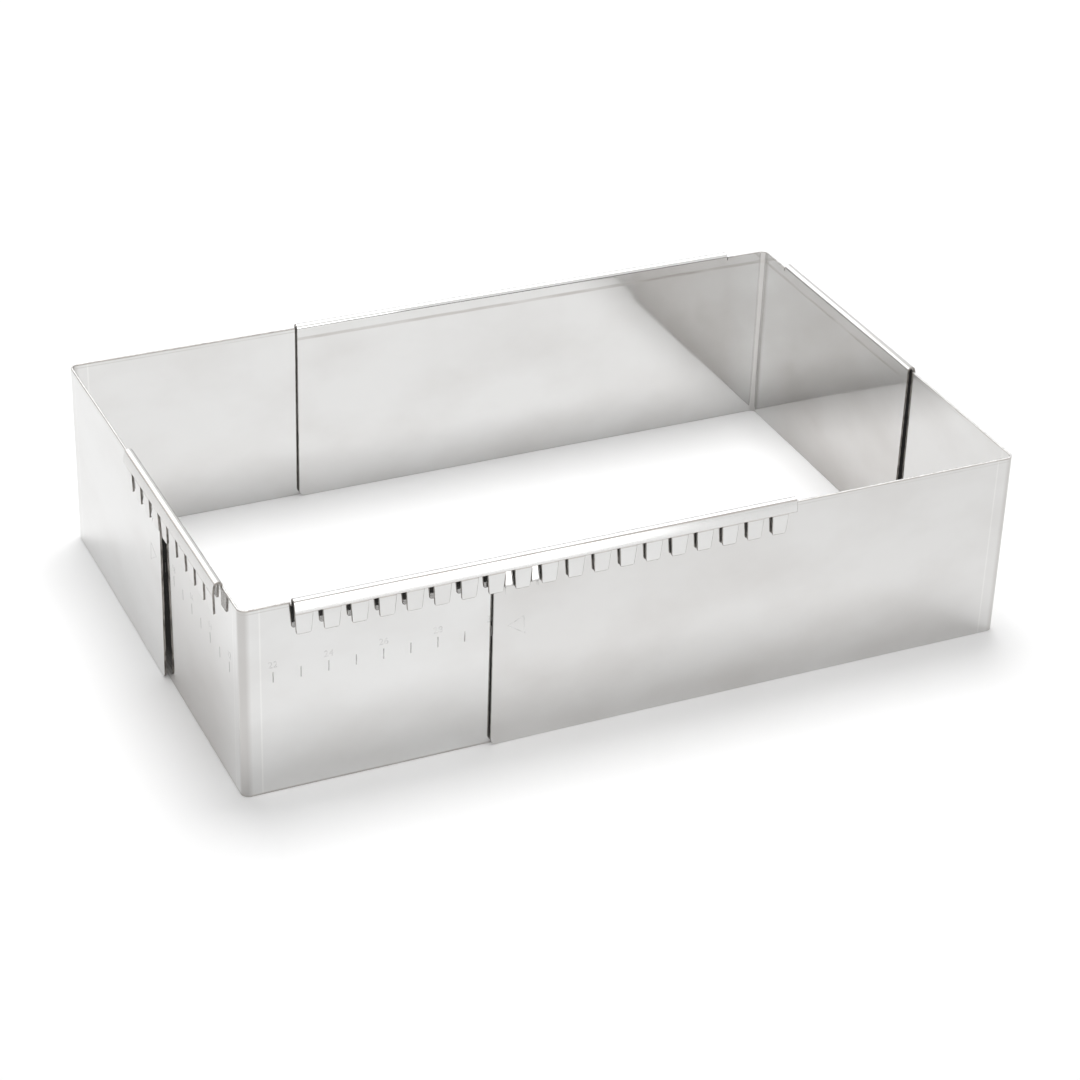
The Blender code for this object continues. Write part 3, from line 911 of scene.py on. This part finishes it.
# %% [markdown]
# Thickness and rounded edges
#
# Solidify gives the surface its thickness on the inner side and puts the sheared steel on the rim. The
# side that it makes has its own materials further down the list. On a rail that is the side of the lip
# that shows. A bevel of a sixth of a millimetre takes the razor edge off. Modifiers are the right tool
# here, because both steps are the same all round the sheet, however it is cut.

# %% Build the sheets
EDGE_ROUNDING = 0.00016
EDGE_SEGMENTS = 3
EDGE_ANGLE = math.radians(40)
RAILED_BODIES = ("front_left", "back_right")
PLAIN_BODIES = ("front_right", "back_left")


def sheet_piece(name, grid, body, node):
    """A finished sheet: mesh, thickness, edges in two finishes and rounded, riding on its body."""
    points, unrolled, keep, finish = grid
    corner, mirror, turn = places[body]
    placed = put_in_place(points, corner, mirror, turn)
    mesh = mesh_from_grid(name, placed, unrolled, keep, finish, mirror > 0)
    outside, inside, rounding = steels[body]
    for material in (outside, sheared_edge_and_foot_shade, outside, tumbled_edge, inside, sheared_edge_and_foot_shade, inside):
        mesh.materials.append(material)
    piece = bpy.data.objects.new(name, mesh)
    bpy.context.scene.collection.objects.link(piece)
    thick = piece.modifiers.new("thickness", 'SOLIDIFY')
    thick.thickness = SHEET_THICKNESS
    thick.offset = -1.0
    thick.use_even_offset = True
    thick.material_offset = TUMBLED_RIM + 1
    thick.material_offset_rim = 1
    rounded = piece.modifiers.new("rounded_edges", 'BEVEL')
    rounded.width = EDGE_ROUNDING
    rounded.segments = EDGE_SEGMENTS
    rounded.material = rounding
    rounded.limit_method = 'ANGLE'
    rounded.angle_limit = EDGE_ANGLE
    rounded.use_clamp_overlap = False
    rounded.harden_normals = True
    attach(piece, body)
    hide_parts(node)
    return piece


sheets = {}
for body in RAILED_BODIES:
    grid = railed_surface(railed_columns, WAVE_PHASES[body], np.random.default_rng(TAB_SEEDS[body]))
    sheets[body] = sheet_piece(body + "_sheet", grid, body, body + "_railed_angle")
for body in PLAIN_BODIES:
    grid = plain_surface(plain_columns, WAVE_PHASES[body])
    sheets[body] = sheet_piece(body + "_sheet", grid, body, body + "_plain_angle")
for label, piece in sheets.items():
    print(label, len(piece.data.polygons), "faces before thickening")

# %% [markdown]
# The scale
#
# The sheets are marked by etching. On the railed sheets a mark stands every 10 mm, and every second mark
# carries the length or width in centimetres that the frame has when a free edge stands at it. Marks and
# digits are first laid out flat, as the eye reads them. A font outline is turned into triangles for
# that. A picture of the scale would blur in a close view, and thin flat shapes don't.

# %% Marks and digits as flat shapes
FIRST_MARK = 0.0115
MARK_LOW, MARK_HIGH = 0.0448, 0.0490
MARK_WIDTH = 0.0004
DIGIT_FOOT = 0.0506
DIGIT_SIZE = 0.0036


def mark_shape(middles):
    """Upright bars as two triangles each: every middle line plus minus half a width, low and high."""
    corners = np.array([[-1, 0], [1, 0], [1, 1], [-1, 1]])
    x = middles[:, None] + corners[:, 0] * MARK_WIDTH / 2
    y = np.broadcast_to(MARK_LOW + corners[:, 1] * (MARK_HIGH - MARK_LOW), x.shape)
    faces = 4 * np.arange(len(middles))[:, None, None] + np.array([[0, 1, 2], [0, 2, 3]])
    return np.stack([x, y], axis=-1).reshape(-1, 2), faces.reshape(-1, 3)


def digit_shape(label, middle):
    """A number as triangles, centred over its mark, all turned to face the reader."""
    curve = bpy.data.curves.new("digits", 'FONT')
    curve.body = label
    curve.size = DIGIT_SIZE
    curve.align_x = 'CENTER'
    writing = bpy.data.objects.new("digits", curve)
    mesh = bpy.data.meshes.new_from_object(writing)
    mesh.calc_loop_triangles()
    points = np.empty(3 * len(mesh.vertices))
    mesh.vertices.foreach_get("co", points)
    faces = np.empty(3 * len(mesh.loop_triangles), int)
    mesh.loop_triangles.foreach_get("vertices", faces)
    flat, faces = points.reshape(-1, 3)[:, :2] + [middle, DIGIT_FOOT], faces.reshape(-1, 3)
    first, second = flat[faces[:, 1]] - flat[faces[:, 0]], flat[faces[:, 2]] - flat[faces[:, 0]]
    turned = first[:, 0] * second[:, 1] < first[:, 1] * second[:, 0]
    faces[turned] = faces[turned, ::-1]
    bpy.data.objects.remove(writing)
    bpy.data.curves.remove(curve)
    bpy.data.meshes.remove(mesh)
    return flat, faces


print("marks are", in_mm(MARK_HIGH - MARK_LOW), "mm high, digits", in_mm(DIGIT_SIZE), "mm in size")

# %% [markdown]
# The pointers
#
# On the plain sheets a triangle points at the free edge, where the scale is read. It is only an outline,
# so it is a ring of three thin quads: its corners, and the same corners drawn towards the middle.

# %% Pointers, and all flat shapes together
POINTER = np.array([[0.0053, 0.0486], [0.0123, 0.0439], [0.0117, 0.0516]])
POINTER_LINE_SHARE = 0.15
LONG_MARKS, SHORT_MARKS = 18, 9
LONG_READING, SHORT_READING = 22, 12
TO_MIDDLE_OF_BEND = HALF_BEND - BEND_RADIUS


def pointer_shape(free_end, side):
    """The outer corners, and the inner ones a share of the way from them to the triangle's middle."""
    outer = POINTER * [side, 1] + [free_end, 0]
    inner = outer + (outer.mean(axis=0) - outer) * POINTER_LINE_SHARE
    here, following = np.arange(3), (np.arange(3) + 1) % 3
    faces = np.vstack([np.column_stack([here, following, following + 3]),
                       np.column_stack([here, following + 3, here + 3])])
    return np.vstack([outer, inner]), faces[:, ::side]


def joined(shapes):
    """Several flat shapes as one, the corner numbers moved on by the shapes before them."""
    before = np.cumsum([0] + [len(points) for points, _ in shapes[:-1]])
    return (np.vstack([points for points, _ in shapes]),
            np.vstack([faces + first for (_, faces), first in zip(shapes, before)]))


long_marks = FIRST_MARK + TAB_PITCH * np.arange(LONG_MARKS) + TO_MIDDLE_OF_BEND
short_marks = -(FIRST_MARK + TAB_PITCH * np.arange(SHORT_MARKS) + TO_MIDDLE_OF_BEND)
scale_shape = mark_shape(np.concatenate([long_marks, short_marks]))
number_shape = joined([digit_shape(str(LONG_READING + step), long_marks[step])
                       for step in range(0, LONG_MARKS, 2)]
                      + [digit_shape(str(SHORT_READING + step), short_marks[step])
                         for step in range(0, SHORT_MARKS, 2)])
pointers_shape = joined([pointer_shape(-(PLAIN_LONG_LEG + TO_MIDDLE_OF_BEND), 1),
                         pointer_shape(PLAIN_SHORT_LEG + TO_MIDDLE_OF_BEND, -1)])
for label, (_, faces) in (("marks", scale_shape), ("digits", number_shape), ("pointers", pointers_shape)):
    print("triangles in", label, len(faces))

# %% [markdown]
# Etched onto the sheets
#
# The flat shapes are bent onto the outer face by the same formulas as the sheet itself, a hundredth of a
# millimetre proud of it. So they follow its waves and its splay and never sink into it. Fresh marks are
# darker, and the digits and pointers are worn almost away.

# %% Bend the shapes onto the sheets
PROUD = 0.000012
ETCHED_DARK, ETCHED_LIGHT = (0.27, 0.265, 0.26, 1.0), (0.44, 0.435, 0.43, 1.0)
ETCHED_ROUGHNESS = (0.4, 0.6)
WORN_DARK, WORN_LIGHT = (0.50, 0.495, 0.49, 1.0), (0.68, 0.675, 0.67, 1.0)
WORN_ROUGHNESS = (0.15, 0.3)
AGAINST_DISTANCE, WITH_DISTANCE = -1, 1

etched = edge_finish("etched_mark", ETCHED_DARK, ETCHED_LIGHT, ETCHED_ROUGHNESS)
worn = edge_finish("worn_mark", WORN_DARK, WORN_LIGHT, WORN_ROUGHNESS)


def etched_piece(name, shape, material, reads, ends, amount, body):
    """A flat shape bent onto a sheet, with reads as the sign between reading direction and distance."""
    flat, faces = shape
    distance, height = reads * flat[:, 0], flat[:, 1]
    outward = wave(distance, height, WAVE_PHASES[body]) + splay(distance, height, ends, amount) + PROUD
    points = put_in_place(sheet_points(distance, outward, height), *places[body])
    mesh = bpy.data.meshes.new(name)
    mesh.from_pydata(points.tolist(), [], faces.tolist())
    mesh.materials.append(material)
    piece = bpy.data.objects.new(name, mesh)
    bpy.context.scene.collection.objects.link(piece)
    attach(piece, body)
    return piece


railed_ends = (-(RAIL_START + LONG_TABS * TAB_PITCH + TO_MIDDLE_OF_BEND),
               RAIL_START + SHORT_TABS * TAB_PITCH + TO_MIDDLE_OF_BEND)
plain_ends = (-(PLAIN_LONG_LEG + TO_MIDDLE_OF_BEND), PLAIN_SHORT_LEG + TO_MIDDLE_OF_BEND)
for body in RAILED_BODIES:
    for label, shape, material in (("_scale", scale_shape, etched), ("_numbers", number_shape, worn)):
        etched_piece(body + label, shape, material, AGAINST_DISTANCE, railed_ends, RAILED_SPLAY, body)
for body in PLAIN_BODIES:
    etched_piece(body + "_pointers", pointers_shape, worn, WITH_DISTANCE, plain_ends, PLAIN_SPLAY, body)
print("long free end of a plain sheet, mm:", in_mm(plain_ends[0]))

# %% [markdown]
# The floor
#
# The photograph is a bright studio picture on a white sweep, exposed so that the open floor burns out
# and only the halo beside the walls is grey. The floor is a plain matt white. A slight glow, for the
# camera and for reflections alone, burns it out without more light on the object.

# %% Floor
FLOOR_SIZE = 12.0
FLOOR_WHITE = (0.90, 0.90, 0.90, 1.0)
FLOOR_ROUGHNESS = 0.9
FLOOR_GLOW = 0.08
WHITE = (1.0, 1.0, 1.0, 1.0)

floor_mesh = bpy.data.meshes.new("floor")
reach = FLOOR_SIZE / 2
floor_mesh.from_pydata([(-reach, -reach, 0.0), (reach, -reach, 0.0),
                        (reach, reach, 0.0), (-reach, reach, 0.0)], [], [(0, 1, 2, 3)])
floor = bpy.data.objects.new("floor", floor_mesh)
bpy.context.scene.collection.objects.link(floor)


def seen_or_mirrored(nodes, links, elsewhere, there):
    """One value for camera and glossy rays and another for all the rest."""
    rays = nodes.new("ShaderNodeLightPath")
    seen = calculated(nodes, links, 'MAXIMUM', rays.outputs["Is Camera Ray"],
                      rays.outputs["Is Glossy Ray"])
    return mapped(nodes, links, seen, (0.0, 1.0), (elsewhere, there))


floor_material, nodes, links = new_material("pale_floor")
shader = nodes["Principled BSDF"]
shader.inputs["Base Color"].default_value = FLOOR_WHITE
shader.inputs["Roughness"].default_value = FLOOR_ROUGHNESS
shader.inputs["Specular IOR Level"].default_value = 0.0
shader.inputs["Emission Color"].default_value = WHITE
links.new(seen_or_mirrored(nodes, links, 0.0, FLOOR_GLOW), shader.inputs["Emission Strength"])
floor_mesh.materials.append(floor_material)
print("floor:", FLOOR_SIZE, "m wide")

# %% [markdown]
# The room and the key light
#
# The world is white for the camera and for reflections, but dimmer as a lamp. A large key panel hangs
# overhead and a little behind, on the right, so the halo lies in front and on the left. It lights the
# floor and is not mirrored, because a bright steel wall would show it as a hard white patch.

# %% World and key panel
WORLD_LIGHT = 0.52
KEY_PLACE = Vector((0.15, 0.45, 1.75))
KEY_SIZE = 0.9
KEY_POWER = 22.5
RAIL_AIM = Vector((0.0, -0.1, 0.07))

world = bpy.data.worlds.new("white_room")
bpy.context.scene.world = world
world.use_nodes = True
nodes, links = world.node_tree.nodes, world.node_tree.links
nodes["Background"].inputs["Color"].default_value = WHITE
links.new(seen_or_mirrored(nodes, links, WORLD_LIGHT, 1.0), nodes["Background"].inputs["Strength"])


def panel(name, place, width, height, power, aim):
    """A rectangular soft light that faces a point, with its radiance, power / (pi * area), printed."""
    lamp = bpy.data.objects.new(name, bpy.data.lights.new(name, 'AREA'))
    bpy.context.scene.collection.objects.link(lamp)
    lamp.data.shape = 'RECTANGLE'
    lamp.data.size = width
    lamp.data.size_y = height
    lamp.data.energy = power
    lamp.location = place
    lamp.rotation_euler = (aim - place).to_track_quat('-Z', 'Y').to_euler()
    print(name, "radiance", round(power / (math.pi * width * height), 2))
    return lamp


key = panel("key_panel", KEY_PLACE, KEY_SIZE, KEY_SIZE, KEY_POWER, RAIL_AIM)
key.visible_glossy = False

# %% [markdown]
# What the mirror sees
#
# Four more surfaces do the opposite of the key and serve reflections alone. A panel in front and a wide
# one overhead whiten the round of the front rail, with a gap between them that deepens the thin grey
# line on it. One further back overhead whitens the left rail, and a low card that stands on the floor in
# front whitens the bumps. Steel has hardly a colour of its own, so these places make its tones.

# %% Mirrored panels
FRONT_PLACE = Vector((-0.115, -1.485, 0.533))
FRONT_WIDTH, FRONT_HEIGHT = 1.37, 0.866
FRONT_POWER = 5.6
CARD_PLACE = Vector((-0.11, -0.30, 0.10))
CARD_WIDTH, CARD_HEIGHT = 0.4, 0.2
CARD_POWER = 0.375
TOP_PLACE = Vector((0.3, 0.495, 1.6))
TOP_WIDTH, TOP_DEPTH = 2.6, 2.01
TOP_POWER = 24.6
LEFT_PLACE = Vector((-1.55, 3.4, 1.6))
LEFT_WIDTH, LEFT_DEPTH = 4.3, 3.2
LEFT_POWER = 42.0

below_front = Vector((FRONT_PLACE.x, RAIL_AIM.y, RAIL_AIM.z))
behind_card = Vector((CARD_PLACE.x, 0.0, CARD_PLACE.z))
below_top = Vector((TOP_PLACE.x, TOP_PLACE.y, 0.0))
below_left = Vector((LEFT_PLACE.x, LEFT_PLACE.y, 0.0))
mirrored_only = (
    panel("front_panel", FRONT_PLACE, FRONT_WIDTH, FRONT_HEIGHT, FRONT_POWER, below_front),
    panel("low_card", CARD_PLACE, CARD_WIDTH, CARD_HEIGHT, CARD_POWER, behind_card),
    panel("top_panel", TOP_PLACE, TOP_WIDTH, TOP_DEPTH, TOP_POWER, below_top),
    panel("left_panel", LEFT_PLACE, LEFT_WIDTH, LEFT_DEPTH, LEFT_POWER, below_left),
)
for lamp in mirrored_only:
    lamp.visible_diffuse = False
bpy.context.scene.view_settings.view_transform = 'Standard'
